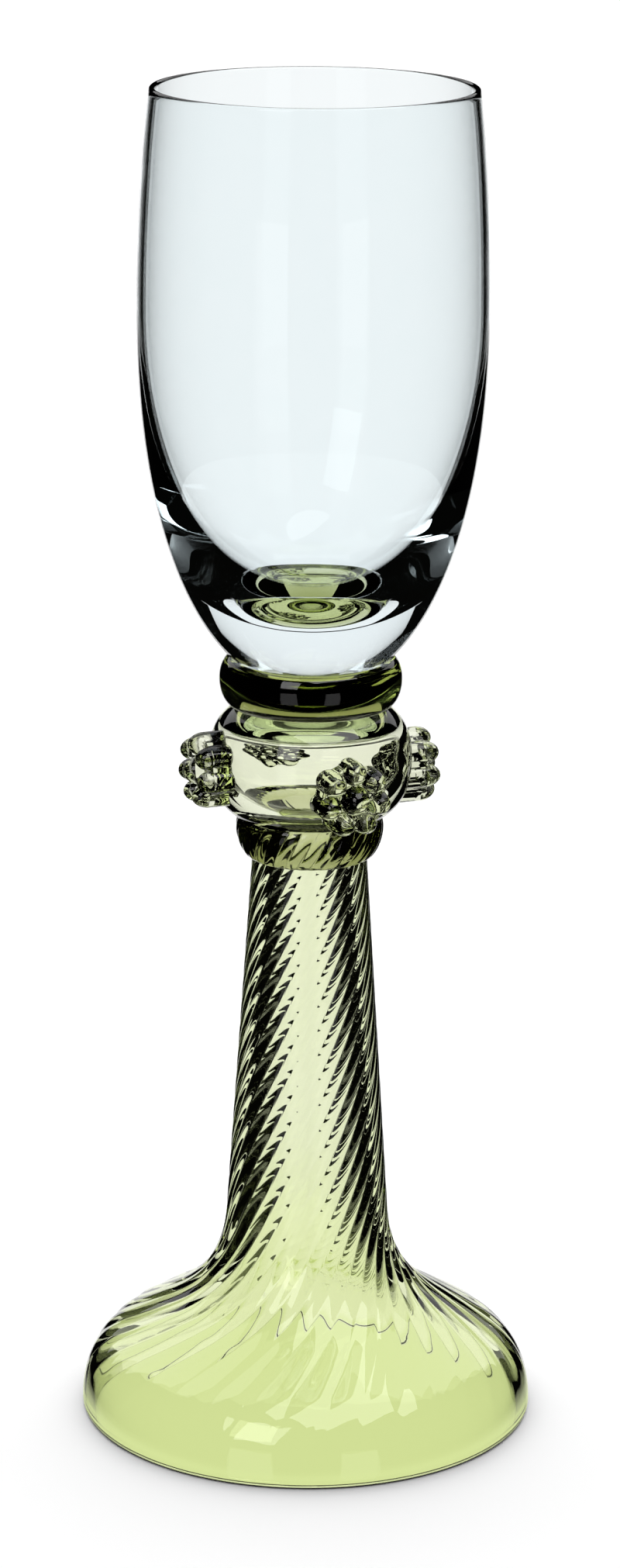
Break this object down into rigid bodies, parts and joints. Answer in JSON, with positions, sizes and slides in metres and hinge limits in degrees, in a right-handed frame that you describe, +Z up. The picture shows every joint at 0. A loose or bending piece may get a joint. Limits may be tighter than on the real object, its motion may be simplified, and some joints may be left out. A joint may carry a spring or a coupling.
{
  "type": "sherry glass",
  "caption": "Sherry glass: clear tulip bowl on a green collar, hollow knop with raspberry prunts, rope-edged ring, and a hollow stem with spiral ribs that flares into a domed foot",
  "frame": {"origin": "middle of the circle on which the foot rests", "axes": "+Z up the stem to the rim, -Y towards the front, +X to the right; one prunt stands 22 degrees to the right of the front"},
  "size_m": [0.068, 0.068, 0.2],
  "materials": {
    "green_glass": "fire-polished pale yellow-green glass",
    "clear_glass": "fire-polished clear glass"
  },
  "bodies": {
    "root": {"stem_foot": "green_glass", "lower_ring": "green_glass", "knop": "green_glass", "prunt_front": "green_glass", "prunt_right": "green_glass", "prunt_back": "green_glass", "prunt_left": "green_glass", "collar_ring": "green_glass", "bowl": "clear_glass"}
  },
  "joints": []
}
